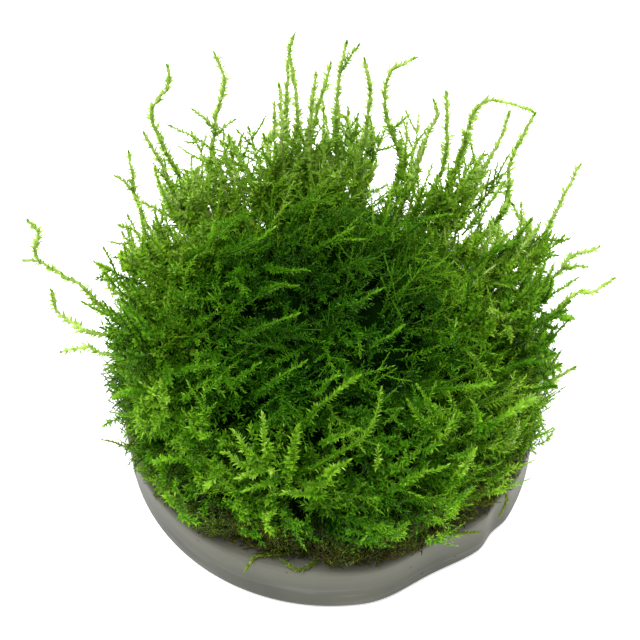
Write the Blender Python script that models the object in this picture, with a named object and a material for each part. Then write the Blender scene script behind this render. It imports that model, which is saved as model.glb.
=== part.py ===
"""Clump of aquarium moss on the disc of nutrient gel that it was grown on.

Metres, +Z up. The origin is the centre of the gel's flat underside, and the
side shown to the viewer faces -Y. The gel is a cast disc with one torn flank.
The moss is a dense cushion of leafy tufts, with long stems that stand out of
it and a few stems that creep over the gel's rim.
"""

import math
import random

import bmesh
import bpy
from mathutils import Vector
from mathutils.bvhtree import BVHTree

MM = 0.001
GAP = 0.3 * MM

# Gel disc
GEL_RADIUS = 35.1 * MM
GEL_THICKNESS = 12.0 * MM
GEL_FOOT_ROUND = 2.0 * MM
GEL_EDGE_ROUND = 0.7 * MM
GEL_DRAFT = 0.4 * MM
GEL_DISH_DEPTH = 0.8 * MM
GEL_DISH_SHARE = 0.55
GEL_SEGMENTS = 64
GEL_LIP_HEIGHT = 1.4 * MM
GEL_LIP_WIDTH = 2.2 * MM
GEL_LIP_DROP = 0.15 * MM
GEL_LIP_AZIMUTH = -15.0
GEL_LIP_SPREAD = 32.0
# Each dent in the rim: azimuth in degrees, depth, half width in degrees
GEL_DENTS = (
    (-60.0, 1.6 * MM, 21.0),
    (-37.5, 0.7 * MM, 7.0),
    (48.0, 0.9 * MM, 11.0),
    (128.0, 0.5 * MM, 15.0),
)

# Moss cushion
CUSHION_BASE_Z = GEL_THICKNESS + GAP
CUSHION_CENTRE = Vector((0.2 * MM, 0.5 * MM, CUSHION_BASE_Z))
CUSHION_BODY_RADIUS = 32.5 * MM
CUSHION_BODY_HEIGHT = 24.0 * MM
CUSHION_SQUARENESS = 3.0
CUSHION_FOOT = 0.93
CUSHION_CUTS = 7
CUSHION_LUMPS = 0.9 * MM
CUSHION_JITTER = 0.055
CUSHION_HEART = Vector((0.0, 4.0 * MM, 20.0 * MM))

# Tufts that grow from the cushion. The rings are distance along the tuft and size
TUFT_LENGTH = 9.0 * MM
TUFT_LENGTH_SPREAD = 0.22
TUFT_RISE = 0.45
TUFT_LEAST_RISE = 0.12
TUFT_LEAN = Vector((0.16, 0.05, 0.0))
TUFT_SPREAD = 0.2
TUFT_INSET = 1.15 * MM
TUFT_RINGS = ((0.38, 0.62), (0.72, 0.50))
TIP_REACH = 0.9
TUFT_TWIST = 24.0
TUFT_LOWEST = 1.2 * MM
TUFT_CLEARANCE = 2.3 * MM
TUFT_TRIES = 12
TUFT_SHRINK = 0.5
TUFT_LOW_LENGTH = 0.45
TUFT_LOW_BAND = 9.0 * MM

# Long stems
STEM_SIDES = 5
STEM_CORE_RADIUS = 0.42 * MM
STEM_LEAF_RADIUS = 0.85 * MM
STEM_TIP_SCALE = 0.55
STEM_RING_STEP = 2.2 * MM
CURVE_STEP = 0.2 * MM
CURVE_SAMPLES = 200
STEM_TWIST = 36.0
STEM_FEWEST_RINGS = 4
AXIS_REACH = 3
STEM_BURIED = 0.55
STEM_THINNING = 4
TWIG_RADIUS = 0.35 * MM
# Rings of a side twig: distance along it and size
TWIG_RINGS = ((0.22, 1.0), (0.42, 1.9), (0.62, 1.1), (0.8, 1.7))

SEED = 11

# Routes of the long stems, root first, in millimetres
STEM_ROUTES = {
    "stem_left_hooked": ((-37, 6, 28), (-41, 7.5, 32.5), (-45.5, 9, 35), (-49, 10.5, 37.5),
                         (-48, 11.5, 42), (-49.5, 12, 44.5)),
    "stem_left_prop": ((-38.5, 1, 28.5), (-43.5, 4, 28), (-46, 6, 29), (-46.5, 7, 32.5)),
    "stem_left_flat": ((-37, -2, 27), (-40, -1, 27.5), (-45, 0, 25)),
    "stem_left_short": ((-36, 9, 29.5), (-37.5, 10.5, 32), (-39.5, 12, 34)),
    "stem_left_upper": ((-30, 19, 33), (-32.5, 21.5, 38), (-33, 22.5, 43), (-33.5, 24, 48)),
    "stem_left_slim": ((-25.5, 18, 36.5), (-26.5, 19, 40), (-28.5, 20, 44)),
    "stem_kinked_left": ((-24, 26, 36), (-27, 27, 43), (-29, 28, 49), (-29.5, 28.5, 54),
                         (-26.5, 29.5, 58), (-26.5, 30, 62)),
    "stem_kinked_twin": ((-25.5, 23.5, 36), (-28, 25, 43), (-31, 26.5, 50)),
    "stem_branched": ((-20, 27.5, 36), (-20, 28.5, 43), (-19, 30.5, 50.5), (-17.5, 32, 57),
                      (-19, 33, 62)),
    "stem_back_tall_left": ((-7.5, 31, 38.5), (-7.5, 33, 48), (-7, 35.5, 57.5), (-6, 37, 62.5)),
    "stem_back_tall_right": ((-6, 27, 44), (-5.5, 28.5, 52), (-6.5, 31, 62.5)),
    "stem_back_short_left": ((-10.5, 31, 38.5), (-9.5, 32, 45), (-9.5, 33, 50.5)),
    "stem_back_short_right": ((-8, 25, 43), (-8, 27, 51), (-8.5, 30.5, 57)),
    "stem_back_slanted": ((-3.5, 25.5, 43), (-3.5, 27.5, 51), (-2.5, 30, 60.5)),
    "stem_back_crossing": ((-3.5, 32, 40), (-2.5, 33.5, 47), (0, 36, 57)),
    "stem_back_forked": ((1, 29, 39.5), (1, 31, 50), (1.5, 32.5, 58), (2.5, 34, 63.5)),
    "stem_back_slim": ((5, 28, 40.5), (6, 30, 49), (6.5, 31.5, 55), (5.5, 33, 60.5)),
    "stem_kinked_right": ((12, 29, 39.5), (9.5, 31.5, 48), (9, 33, 54.5), (10.5, 34, 57.5),
                          (14, 35, 59)),
    "stem_right_curved": ((13.5, 22.5, 42), (15.5, 26, 48.5), (17.5, 28.5, 51.5), (17, 30, 54)),
    "stem_right_straight": ((18.5, 27.5, 38), (19.5, 28.5, 46), (19, 31, 55)),
    "stem_arch_rise": ((20, 24.5, 39), (22, 24.5, 49), (23.5, 24.5, 58), (26, 24.5, 60),
                       (31.5, 24, 58.5)),
    "stem_arch_fall": ((28.5, 18, 39), (29.5, 20.5, 49), (31.5, 22.5, 54.5), (33, 24, 57)),
    "stem_under_arch": ((21.5, 21, 39), (25, 23, 44.5), (28, 25.5, 49), (29.5, 28, 53.5)),
    "stem_right_long": ((34, 11.5, 39), (36.5, 14, 43.5), (40.5, 18, 51.5)),
    "stem_right_upper_stub": ((33, 14, 38), (31.5, 14.5, 41.5), (30, 15.5, 44.5)),
    "stem_right_paired": ((36, 7.5, 35), (39.5, 8.5, 39.5), (44, 9.5, 41)),
    "stem_right_sweeping": ((35, 2, 31), (40, 4, 35.5), (43.5, 5, 35), (46.5, 6, 37)),
    "stem_right_flat": ((34.5, -6, 24), (37.5, -6, 26), (40, -6, 28.5)),
}

# Side twigs: the stem, the ring that each grows from and the twig's tip, in millimetres
STEM_TWIGS = {
    "stem_left_hooked": ((8, (-51, 9.5, 37.5)),),
    "stem_left_upper": ((4, (-36, 22.5, 44)),),
    "stem_branched": ((3, (-27, 31, 47)), (5, (-23, 30.5, 51.5)), (5, (-16, 30, 49.5))),
    "stem_back_forked": ((9, (4.5, 33.5, 63.5)),),
    "stem_kinked_right": ((3, (13, 31, 49.5)),),
    "stem_right_paired": ((4, (42, 6.5, 39.5)),),
}

# Stems that creep over the gel: azimuth in degrees, distance past the rim and height over the
# gel's top in millimetres, from the moss outwards
CREEPER_ROUTES = {
    "creeper_front_left": ((-101, -2.5, 1.5), (-107, -1.2, 1.3), (-110.5, -0.2, 1.2),
                           (-112, 1.4, -0.4), (-112.5, 1.4, -1.6)),
    "creeper_front": ((-93, -2.6, 1.5), (-95.5, -0.6, 1.2), (-99, 0.4, 1.1), (-103.5, -0.8, 1.2)),
    "creeper_front_right": ((-58, -3.0, 1.8), (-57, 0.2, 1.4), (-53, 0.8, 0.4), (-47, 1.4, -1.5)),
    "creeper_right": ((-36, -3.0, 2.6), (-36, 1.4, 1.6), (-39, 1.6, -2.5)),
    "creeper_left": ((-157, -2.5, 1.8), (-161, 1.0, 1.9), (-164, 3.0, 1.7), (-165.5, 4.8, 1.6)),
    "creeper_back": ((78, -3.0, 1.6), (80, 1.4, 0.8), (84, 1.5, -4.0)),
}

MATERIALS = {
    "gel": ((0.30, 0.31, 0.28, 1.0), 0.18),
    "moss": ((0.07, 0.20, 0.02, 1.0), 0.55),
    "young_moss": ((0.20, 0.42, 0.05, 1.0), 0.5),
    "old_moss": ((0.13, 0.12, 0.03, 1.0), 0.6),
}


def clear_scene():
    for obj in list(bpy.data.objects):
        bpy.data.objects.remove(obj, do_unlink=True)


def make_material(name):
    colour, roughness = MATERIALS[name]
    material = bpy.data.materials.new(name)
    material.use_nodes = True
    shader = material.node_tree.nodes["Principled BSDF"]
    shader.inputs["Base Color"].default_value = colour
    shader.inputs["Roughness"].default_value = roughness
    shader.inputs["Metallic"].default_value = 0.0
    return material


def add_object(name, bm, material, smooth_angle):
    """Link the finished mesh as an object, with edges under the angle shaded smooth."""
    bmesh.ops.recalc_face_normals(bm, faces=bm.faces)
    mesh = bpy.data.meshes.new(name)
    bm.to_mesh(mesh)
    bm.free()
    mesh.shade_smooth()
    mesh.set_sharp_from_angle(angle=math.radians(smooth_angle))
    mesh.materials.append(material)
    obj = bpy.data.objects.new(name, mesh)
    bpy.context.scene.collection.objects.link(obj)
    return obj


def around(azimuth):
    """Unit vector in the horizontal plane at an azimuth in degrees."""
    return Vector((math.cos(math.radians(azimuth)), math.sin(math.radians(azimuth)), 0.0))


def bump(angle, centre, half_width):
    """1 at the centre angle, falling smoothly to 0 at the half width and beyond (degrees)."""
    offset = (angle - centre + 180.0) % 360.0 - 180.0
    if abs(offset) >= half_width:
        return 0.0
    return 0.5 + 0.5 * math.cos(math.pi * offset / half_width)


def gel_rim_radius(azimuth):
    """Outline of the gel: a circle with the dents of the torn flank taken off."""
    dents = sum(depth * bump(azimuth, centre, width) for centre, depth, width in GEL_DENTS)
    return GEL_RADIUS - dents


def gel_rings(azimuth):
    """Profile of the gel at one azimuth, as radius and height, from the foot to the dish."""
    rim = gel_rim_radius(azimuth)
    lip = GEL_LIP_HEIGHT * bump(azimuth, GEL_LIP_AZIMUTH, GEL_LIP_SPREAD)
    foot = [
        (
            rim - GEL_FOOT_ROUND * (1.0 - math.sin(turn)),
            GEL_FOOT_ROUND * (1.0 - math.cos(turn)),
        )
        for turn in (0.0, math.pi / 6.0, math.pi / 3.0, math.pi / 2.0)
    ]
    side = [(rim + GEL_DRAFT, GEL_THICKNESS - GEL_EDGE_ROUND + lip)]
    top = [
        (rim + GEL_DRAFT - GEL_EDGE_ROUND, GEL_THICKNESS + lip),
        (rim - GEL_LIP_WIDTH, GEL_THICKNESS - GEL_LIP_DROP),
        (rim * GEL_DISH_SHARE, GEL_THICKNESS - GEL_DISH_DEPTH),
    ]
    return foot + side + top


def build_gel(material):
    """The cast disc: flat underside, rounded foot, raised lip and a shallow dished top."""
    bm = bmesh.new()
    columns = []
    for index in range(GEL_SEGMENTS):
        azimuth = 360.0 * index / GEL_SEGMENTS
        columns.append([
            bm.verts.new(around(azimuth) * radius + Vector((0.0, 0.0, height)))
            for radius, height in gel_rings(azimuth)
        ])
    underside = bm.verts.new((0.0, 0.0, 0.0))
    middle = bm.verts.new((0.0, 0.0, GEL_THICKNESS - GEL_DISH_DEPTH))
    for index, column in enumerate(columns):
        beside = columns[(index + 1) % GEL_SEGMENTS]
        for low in range(len(column) - 1):
            bm.faces.new((column[low], beside[low], beside[low + 1], column[low + 1]))
        bm.faces.new((underside, beside[0], column[0]))
        bm.faces.new((middle, column[-1], beside[-1]))
    return add_object("gel_pad", bm, material, 50.0)


def cushion_point(direction):
    """Point of the cushion's body in a direction from the middle of its base."""
    flat = math.hypot(direction.x, direction.y) / CUSHION_BODY_RADIUS
    tall = direction.z / CUSHION_BODY_HEIGHT
    reach = (flat ** CUSHION_SQUARENESS + tall ** CUSHION_SQUARENESS) ** (-1.0 / CUSHION_SQUARENESS)
    return direction * reach


def cushion_body(rng):
    """A domed body of even square faces, closed by a flat base."""
    bm = bmesh.new()
    bmesh.ops.create_cube(bm, size=2.0)
    bmesh.ops.subdivide_edges(bm, edges=bm.edges[:], cuts=CUSHION_CUTS, use_grid_fill=True)
    below = [vert for vert in bm.verts if vert.co.z < -0.5 / CUSHION_CUTS]
    bmesh.ops.delete(bm, geom=below, context="VERTS")
    rim = [edge for edge in bm.edges if edge.is_boundary]
    for vert in bm.verts:
        jitter = Vector([rng.uniform(-CUSHION_JITTER, CUSHION_JITTER) for _ in range(3)])
        lump = rng.uniform(-CUSHION_LUMPS, CUSHION_LUMPS)
        direction = vert.co.normalized()
        if vert.is_boundary:
            vert.co = CUSHION_CENTRE + cushion_point(direction) * CUSHION_FOOT
        else:
            direction = (direction + jitter).normalized()
            vert.co = CUSHION_CENTRE + cushion_point(direction) + direction * lump
    bmesh.ops.contextual_create(bm, geom=rim)
    bmesh.ops.recalc_face_normals(bm, faces=bm.faces)
    return bm


def pointed_end(path):
    """Where a tuft or twig comes to its point, past its last ring."""
    return path[-1] + (path[-1] - path[-2]) * TIP_REACH


def grow(bm, face, path, scales, twist):
    """Extrude a face along a path of points, with a size for each ring, to a pointed tip."""
    across = (face.verts[1].co - face.verts[0].co).normalized()
    sides = len(face.verts)
    previous = face.calc_center_median()
    size = sum((vert.co - previous).length for vert in face.verts) / sides
    start_angle = None
    for step, (point, scale) in enumerate(zip(path, scales)):
        new = bmesh.ops.extrude_discrete_faces(bm, faces=[face])["faces"][0]
        axis = (point - previous).normalized()
        side = (across - axis * across.dot(axis)).normalized()
        other = axis.cross(side)
        if start_angle is None:
            arm = new.verts[0].co - new.calc_center_median()
            start_angle = math.atan2(arm.dot(other), arm.dot(side))
        for index, vert in enumerate(new.verts):
            angle = start_angle + 2.0 * math.pi * index / sides + math.radians(twist) * (step + 1)
            vert.co = point + (side * math.cos(angle) + other * math.sin(angle)) * size * scale
        face = new
        previous = point
    last = list(face.verts)
    bmesh.ops.delete(bm, geom=[face], context="FACES_ONLY")
    apex = bm.verts.new(pointed_end(path))
    for index in range(sides):
        bm.faces.new((last[index], last[(index + 1) % sides], apex))


def tuft_path(root, normal, length, rng):
    """Points along a tuft that leaves the body and curves upwards, leaning to one side."""
    stray = Vector([rng.uniform(-TUFT_SPREAD, TUFT_SPREAD) for _ in range(3)])
    heading = normal + TUFT_LEAN + stray
    heading.z = max(heading.z, TUFT_LEAST_RISE)
    heading.normalize()
    rise = Vector((0.0, 0.0, TUFT_RISE))
    return [
        root + (heading * along + rise * along * along) * length
        for along, _ in TUFT_RINGS
    ]


def nearest_distance(points, others):
    return min((point - other).length for point in points for other in others)


def clear_tuft(face, stem_points, rng):
    """A path for the tuft of a face that passes clear of the stems, or None."""
    root = face.calc_center_median()
    low = min(1.0, (root.z - CUSHION_BASE_Z) / TUFT_LOW_BAND)
    longest = TUFT_LENGTH * (TUFT_LOW_LENGTH + (1.0 - TUFT_LOW_LENGTH) * low)
    for attempt in range(TUFT_TRIES):
        shrink = 1.0 - TUFT_SHRINK * attempt / TUFT_TRIES
        spread = rng.uniform(1.0 - TUFT_LENGTH_SPREAD, 1.0 + TUFT_LENGTH_SPREAD)
        path = tuft_path(root, face.normal, longest * spread * shrink, rng)
        if nearest_distance(path + [pointed_end(path)], stem_points) > TUFT_CLEARANCE:
            return path
    return None


def build_cushion(material, stem_points, rng):
    """The cushion's body with a tuft on each face that no long stem passes."""
    bm = cushion_body(rng)
    paths = []
    for face in bm.faces:
        if face.calc_center_median().z > CUSHION_BASE_Z + TUFT_LOWEST:
            paths.append((face, clear_tuft(face, stem_points, rng)))
    tufts = [(face, path) for face, path in paths if path]
    bmesh.ops.inset_individual(bm, faces=[face for face, _ in tufts], thickness=TUFT_INSET)
    for face, path in tufts:
        grow(bm, face, path, [scale for _, scale in TUFT_RINGS], TUFT_TWIST)
    return add_object("moss_cushion", bm, material, 40.0)


def curve_point(points, position):
    """Point on a smooth curve through the route's points; position runs from 0 to 1."""
    spans = len(points) - 1
    span = min(int(position * spans), spans - 1)
    t = position * spans - span
    a, b = points[span], points[span + 1]
    before = points[span - 1] if span else a * 2.0 - b
    after = points[span + 2] if span + 2 <= spans else b * 2.0 - a
    return 0.5 * (
        2.0 * a
        + (b - before) * t
        + (2.0 * before - 5.0 * a + 4.0 * b - after) * t ** 2
        + (3.0 * a - before - 3.0 * b + after) * t ** 3
    )


def fine_curve(points):
    """The smooth curve through the points, sampled at an even small step."""
    rough = [curve_point(points, index / CURVE_SAMPLES) for index in range(CURVE_SAMPLES + 1)]
    fine = [rough[0]]
    for point in rough[1:]:
        while (point - fine[-1]).length > CURVE_STEP:
            fine.append(fine[-1] + (point - fine[-1]).normalized() * CURVE_STEP)
    return fine


def route_in_metres(points):
    return [Vector(point) * MM for point in points]


def rooted_route(points):
    """The route with one more point, inside the cushion, that the stem grows from."""
    inside = points[0].lerp(CUSHION_HEART, STEM_BURIED)
    return fine_curve([inside] + points)


def clear_start(curve, tree, clearance):
    """Cut away the start of a curve that lies in a surface or too near to it."""
    near = [index for index, point in enumerate(curve) if tree.find_nearest(point)[3] < clearance]
    return curve[near[-1] + 1:] if near else curve


def lie_on(curve, tree, clearance):
    """Push a curve's points out of and off a surface, to at least the clearance."""
    lying = []
    for point in curve:
        nearest, normal, _, distance = tree.find_nearest(point)
        signed = distance if (point - nearest).dot(normal) > 0.0 else -distance
        lying.append(point + normal * max(0.0, clearance - signed))
    return lying


def ring(bm, centre, axis, side, radius, turn):
    other = axis.cross(side)
    return [
        bm.verts.new(centre + (side * math.cos(angle) + other * math.sin(angle)) * radius)
        for angle in (turn + 2.0 * math.pi * index / STEM_SIDES for index in range(STEM_SIDES))
    ]


def build_stem(name, curve, material, twigs=()):
    """A tapering stem along a curve, with a flare at every second ring where its leaves stand."""
    bm = bmesh.new()
    count = max(STEM_FEWEST_RINGS, round((len(curve) - 1) * CURVE_STEP / STEM_RING_STEP))
    rings = []
    side = Vector((1.0, 0.0, 0.0))
    for index in range(count):
        along = index / count
        spot = round(along * (len(curve) - 1))
        after = curve[min(spot + AXIS_REACH, len(curve) - 1)]
        axis = (after - curve[max(spot - AXIS_REACH, 0)]).normalized()
        side = (side - axis * side.dot(axis)).normalized()
        radius = STEM_LEAF_RADIUS if index % 2 else STEM_CORE_RADIUS
        taper = 1.0 - (1.0 - STEM_TIP_SCALE) * along
        turn = math.radians(STEM_TWIST) * index
        rings.append(ring(bm, curve[spot], axis, side, radius * taper, turn))
    walls = []
    for low, high in zip(rings, rings[1:]):
        walls.append([
            bm.faces.new((low[i], low[(i + 1) % STEM_SIDES], high[(i + 1) % STEM_SIDES], high[i]))
            for i in range(STEM_SIDES)
        ])
    bm.faces.new(list(reversed(rings[0])))
    apex = bm.verts.new(curve[-1])
    for index in range(STEM_SIDES):
        bm.faces.new((rings[-1][index], rings[-1][(index + 1) % STEM_SIDES], apex))
    bm.normal_update()
    for row, tip in twigs:
        grow_twig(bm, walls[row], Vector(tip) * MM)
    return add_object(name, bm, material, 60.0)


def grow_twig(bm, wall, tip):
    """Grow a side twig from the face of a stem that looks most towards the twig's tip."""
    free = [face for face in wall if face.is_valid]
    face = max(free, key=lambda f: f.normal.dot((tip - f.calc_center_median()).normalized()))
    root = face.calc_center_median()
    size = sum((vert.co - root).length for vert in face.verts) / len(face.verts)
    path = [root.lerp(tip, along) for along, _ in TWIG_RINGS]
    scales = [TWIG_RADIUS / size * flare for _, flare in TWIG_RINGS]
    grow(bm, face, path, scales, 0.0)


def creeper_curve(points):
    """Curve of a creeping stem, from its places around the gel's rim."""
    places = []
    for azimuth, outside, over in points:
        radius = gel_rim_radius(azimuth) + outside * MM
        places.append(around(azimuth) * radius + Vector((0.0, 0.0, GEL_THICKNESS + over * MM)))
    return fine_curve(places)


def surface_tree(obj):
    bm = bmesh.new()
    bm.from_mesh(obj.data)
    tree = BVHTree.FromBMesh(bm)
    bm.free()
    return tree


def build_clump():
    clear_scene()
    rng = random.Random(SEED)
    materials = {name: make_material(name) for name in MATERIALS}
    gel = build_gel(materials["gel"])
    stems = {name: rooted_route(route_in_metres(route)) for name, route in STEM_ROUTES.items()}
    creepers = {name: creeper_curve(route) for name, route in CREEPER_ROUTES.items()}
    curves = list(stems.values()) + list(creepers.values())
    stem_points = [point for curve in curves for point in curve[::STEM_THINNING]]
    cushion = build_cushion(materials["moss"], stem_points, rng)
    clearance = STEM_LEAF_RADIUS + GAP
    cushion_tree = surface_tree(cushion)
    gel_tree = surface_tree(gel)
    for name, curve in stems.items():
        free = clear_start(curve, cushion_tree, clearance)
        build_stem(name, free, materials["young_moss"], STEM_TWIGS.get(name, ()))
    for name, curve in creepers.items():
        lying = lie_on(curve, gel_tree, clearance)
        free = clear_start(lying, cushion_tree, clearance)
        build_stem(name, free, materials["old_moss"])


build_clump()
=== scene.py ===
"""Looks of the moss clump: leafy shoots, long stems, creeping stems and the gel disc.

Lengths are in millimetres in the script and become metres when a mesh is made. Every shoot is a
thin stem with real leaves, and the shoots of one side of the clump are joined in one piece.
"""

import math

import bpy
import numpy as np
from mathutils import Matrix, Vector

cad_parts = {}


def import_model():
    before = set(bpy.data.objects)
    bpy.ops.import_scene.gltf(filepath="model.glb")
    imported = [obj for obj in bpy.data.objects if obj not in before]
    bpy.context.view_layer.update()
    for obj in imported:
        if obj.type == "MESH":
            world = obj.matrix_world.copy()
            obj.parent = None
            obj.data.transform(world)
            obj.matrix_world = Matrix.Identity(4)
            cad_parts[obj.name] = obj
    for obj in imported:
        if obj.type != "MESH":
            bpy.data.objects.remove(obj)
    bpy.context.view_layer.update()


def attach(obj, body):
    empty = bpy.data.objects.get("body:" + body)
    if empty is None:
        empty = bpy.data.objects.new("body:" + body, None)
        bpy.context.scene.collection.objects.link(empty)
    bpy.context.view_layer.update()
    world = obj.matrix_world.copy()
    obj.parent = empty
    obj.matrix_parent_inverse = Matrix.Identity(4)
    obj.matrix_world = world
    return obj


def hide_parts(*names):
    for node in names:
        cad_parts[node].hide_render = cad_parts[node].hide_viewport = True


MM = 0.001
SEED = 5

# Camera: the photograph's direction and framing
CAMERA_ELEVATION = 51.97
CAMERA_DISTANCE = 380.0
CAMERA_TARGET = (-1.8, 26.3, 0.0)
CAMERA_FOCAL_PX = 2055.9
PHOTO_SIDE_PX = 640
SENSOR_WIDTH = 36.0

# Light: a white room and two soft lamps, over a floor like a light table
WORLD_STRENGTH = 0.6
FLOOR_GLOW = 0.5

# Gel disc, as in the CAD
GEL_RADIUS = 35.1
GEL_TOP = 12.0
GEL_FOOT_ROUND = 2.0
GEL_EDGE_ROUND = 0.7
GEL_DRAFT = 0.4
GEL_DISH_DEPTH = 0.8
GEL_LIP_HEIGHT = 1.4
GEL_LIP_WIDTH = 2.2
GEL_LIP_AZIMUTH = -15.0
GEL_LIP_SPREAD = 32.0
GEL_DENTS = ((-60.0, 1.6, 21.0), (-37.5, 0.7, 7.0), (48.0, 0.9, 11.0), (128.0, 0.5, 15.0))
GEL_SEGMENTS = 320

# Envelope that the tips of the shoots reach
MOSS_CENTRE = np.array([0.2, 0.5, 12.3])
MOSS_RADIUS = 39.5
MOSS_HEIGHT = 36.0
MOSS_SQUARENESS = 3.2
MOSS_FOOT_SHARE = 0.86
MOSS_FOOT_BAND = 10.0
MOSS_DIP = 2.5
MOSS_DIP_RADIUS = 16.0

# Leaves
LEAF_SLIMNESS = 0.33
LEAF_TURN = math.radians(137.5)
# Painted highlight: how much paler a leaf tip is painted to stand in for a glint on a wet leaf, and the share of
# leaves that get one
PAINTED_GLINT = 0.4
PAINTED_GLINT_SHARE = 0.03
BUD_LENGTH = 1.5
BUD_SPREAD = 15.0

# How a shoot looks, where nothing else is said: leaf length and spacing, share of the stem that
# is bare at its foot, leaf angles at foot and tip, leaf size at the tip, bare places and tones, among
# them a leaf's darker base and lighter tip, partly its own colour and partly painted shade and shine
SHOOT_STYLE = {
    "leaf": 1.1, "wide": 1.0, "spacing": 0.16, "start": 0.15, "spread": (66.0, 50.0), "taper": 0.75,
    "bare": 0.0, "radius": 0.13, "stem_pale": -0.08, "bud_dark": 0.0, "mottle": 0.05, "contrast": 1.0,
}

# Long stems, as in the CAD, root first
STEM_ROUTES = {
    "stem_left_hooked": ((-37, 6, 28), (-41, 7.5, 32.5), (-45.5, 9, 35), (-49, 10.5, 37.5),
                         (-48, 11.5, 42), (-49.5, 12, 44.5)),
    "stem_left_prop": ((-38.5, 1, 28.5), (-43.5, 4, 28), (-46, 6, 29), (-46.5, 7, 32.5)),
    "stem_left_flat": ((-37, -2, 27), (-40, -1, 27.5), (-45, 0, 25)),
    "stem_left_short": ((-36, 9, 29.5), (-37.5, 10.5, 32), (-39.5, 12, 34)),
    "stem_left_upper": ((-30, 19, 33), (-32.5, 21.5, 38), (-33, 22.5, 43), (-33.5, 24, 48)),
    "stem_left_slim": ((-25.5, 18, 36.5), (-26.5, 19, 40), (-28.5, 20, 44)),
    "stem_kinked_left": ((-24, 26, 36), (-27, 27, 43), (-29, 28, 49), (-29.5, 28.5, 54),
                         (-26.5, 29.5, 58), (-26.5, 30, 62)),
    "stem_kinked_twin": ((-25.5, 23.5, 36), (-28, 25, 43), (-31, 26.5, 50)),
    "stem_branched": ((-20, 27.5, 36), (-20, 28.5, 43), (-19, 30.5, 50.5), (-17.5, 32, 57),
                      (-19, 33, 62)),
    "stem_back_tall_left": ((-7.5, 31, 38.5), (-7.5, 33, 48), (-7, 35.5, 57.5), (-6, 37, 62.5)),
    "stem_back_tall_right": ((-6, 27, 44), (-5.5, 28.5, 52), (-6.5, 31, 62.5)),
    "stem_back_short_left": ((-10.5, 31, 38.5), (-9.5, 32, 45), (-9.5, 33, 50.5)),
    "stem_back_short_right": ((-8, 25, 43), (-8, 27, 51), (-8.5, 30.5, 57)),
    "stem_back_slanted": ((-3.5, 25.5, 43), (-3.5, 27.5, 51), (-2.5, 30, 60.5)),
    "stem_back_crossing": ((-3.5, 32, 40), (-2.5, 33.5, 47), (0, 36, 57)),
    "stem_back_forked": ((1, 29, 39.5), (1, 31, 50), (1.5, 32.5, 58), (2.5, 34, 63.5)),
    "stem_back_slim": ((5, 28, 40.5), (6, 30, 49), (6.5, 31.5, 55), (5.5, 33, 60.5)),
    "stem_kinked_right": ((12, 29, 39.5), (9.5, 31.5, 48), (9, 33, 54.5), (10.5, 34, 57.5),
                          (14, 35, 59)),
    "stem_right_curved": ((13.5, 22.5, 42), (15.5, 26, 48.5), (17.5, 28.5, 51.5), (17, 30, 54)),
    "stem_right_straight": ((18.5, 27.5, 38), (19.5, 28.5, 46), (19, 31, 55)),
    "stem_arch_rise": ((20, 24.5, 39), (22, 24.5, 49), (23.5, 24.5, 58), (26, 24.5, 60),
                       (31.5, 24, 58.5), (32.8, 24, 57.6)),
    "stem_arch_fall": ((28.5, 18, 39), (29.5, 20.5, 49), (31.5, 22.5, 54.5), (33, 24, 57)),
    "stem_under_arch": ((21.5, 21, 39), (25, 23, 44.5), (28, 25.5, 49), (29.5, 28, 53.5)),
    "stem_right_long": ((34, 11.5, 39), (36.5, 14, 43.5), (40.5, 18, 51.5)),
    "stem_right_upper_stub": ((33, 14, 38), (31.5, 14.5, 41.5), (30, 15.5, 44.5)),
    "stem_right_paired": ((36, 7.5, 35), (39.5, 8.5, 39.5), (44, 9.5, 41)),
    "stem_right_sweeping": ((35, 2, 31), (40, 4, 35.5), (43.5, 5, 35), (46.5, 6, 37)),
    "stem_right_flat": ((34.5, -6, 24), (37.5, -6, 26), (40, -6, 28.5)),
}
LONG_STEM_STYLE = {
    "leaf": 1.75, "wide": 1.4, "spacing": 0.09, "start": 0.0, "spread": (62.0, 48.0), "taper": 0.72, "bare": 0.35,
    "radius": 0.45, "stem_pale": 0.12, "bud_dark": 0.3, "mottle": 0.08, "contrast": -0.7,
}
TWIG_STYLE = {
    "leaf": 1.25, "wide": 1.2, "spacing": 0.12, "start": 0.05, "spread": (60.0, 45.0), "taper": 0.85,
    "radius": 0.22, "stem_pale": 0.2, "bud_dark": 0.1, "mottle": 0.1,
}

# Twigs of long stems: the height at which each leaves its stem, and its tip
STEM_TWIGS = {
    "stem_left_hooked": ((36.5, (-51, 9.5, 37.5)),),
    "stem_left_upper": ((41.0, (-36, 22.5, 44)),),
    "stem_branched": ((43.5, (-27, 31, 47)), (48.0, (-23, 30.5, 51.5)), (45.5, (-16, 30, 49.5))),
    "stem_back_forked": ((57.0, (4.5, 33.5, 63.5)),),
    "stem_kinked_right": ((46.0, (13, 31, 49.5)),),
    "stem_right_paired": ((37.0, (42, 6.5, 39.5)),),
}

# Creeping stems, as in the CAD: azimuth, millimetres past the rim and over the top of the gel
CREEPER_ROUTES = {
    "creeper_front_left": ((-101, -2.5, 1.5), (-107, -1.2, 1.3), (-110.5, -0.2, 1.2),
                           (-112, 1.4, -0.4), (-112.5, 1.4, -1.6)),
    "creeper_front": ((-93, -2.6, 1.5), (-95.5, -0.6, 1.2), (-99, 0.4, 1.1), (-103.5, -0.8, 1.2)),
    "creeper_front_right": ((-58, -3, 1.8), (-57, 0.2, 1.4), (-53, 0.8, 0.4), (-47, 1.4, -1.5)),
    "creeper_right": ((-36, -3, 2.6), (-36, 1.4, 1.6), (-39, 1.6, -2.5)),
    "creeper_left": ((-157, -2.5, 1.8), (-161, 1.0, 1.9), (-164, 3.0, 1.7), (-165.5, 4.8, 1.6)),
    "creeper_back": ((78, -3, 1.6), (80, 1.4, 0.8), (84, 1.5, -4)),
}

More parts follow.
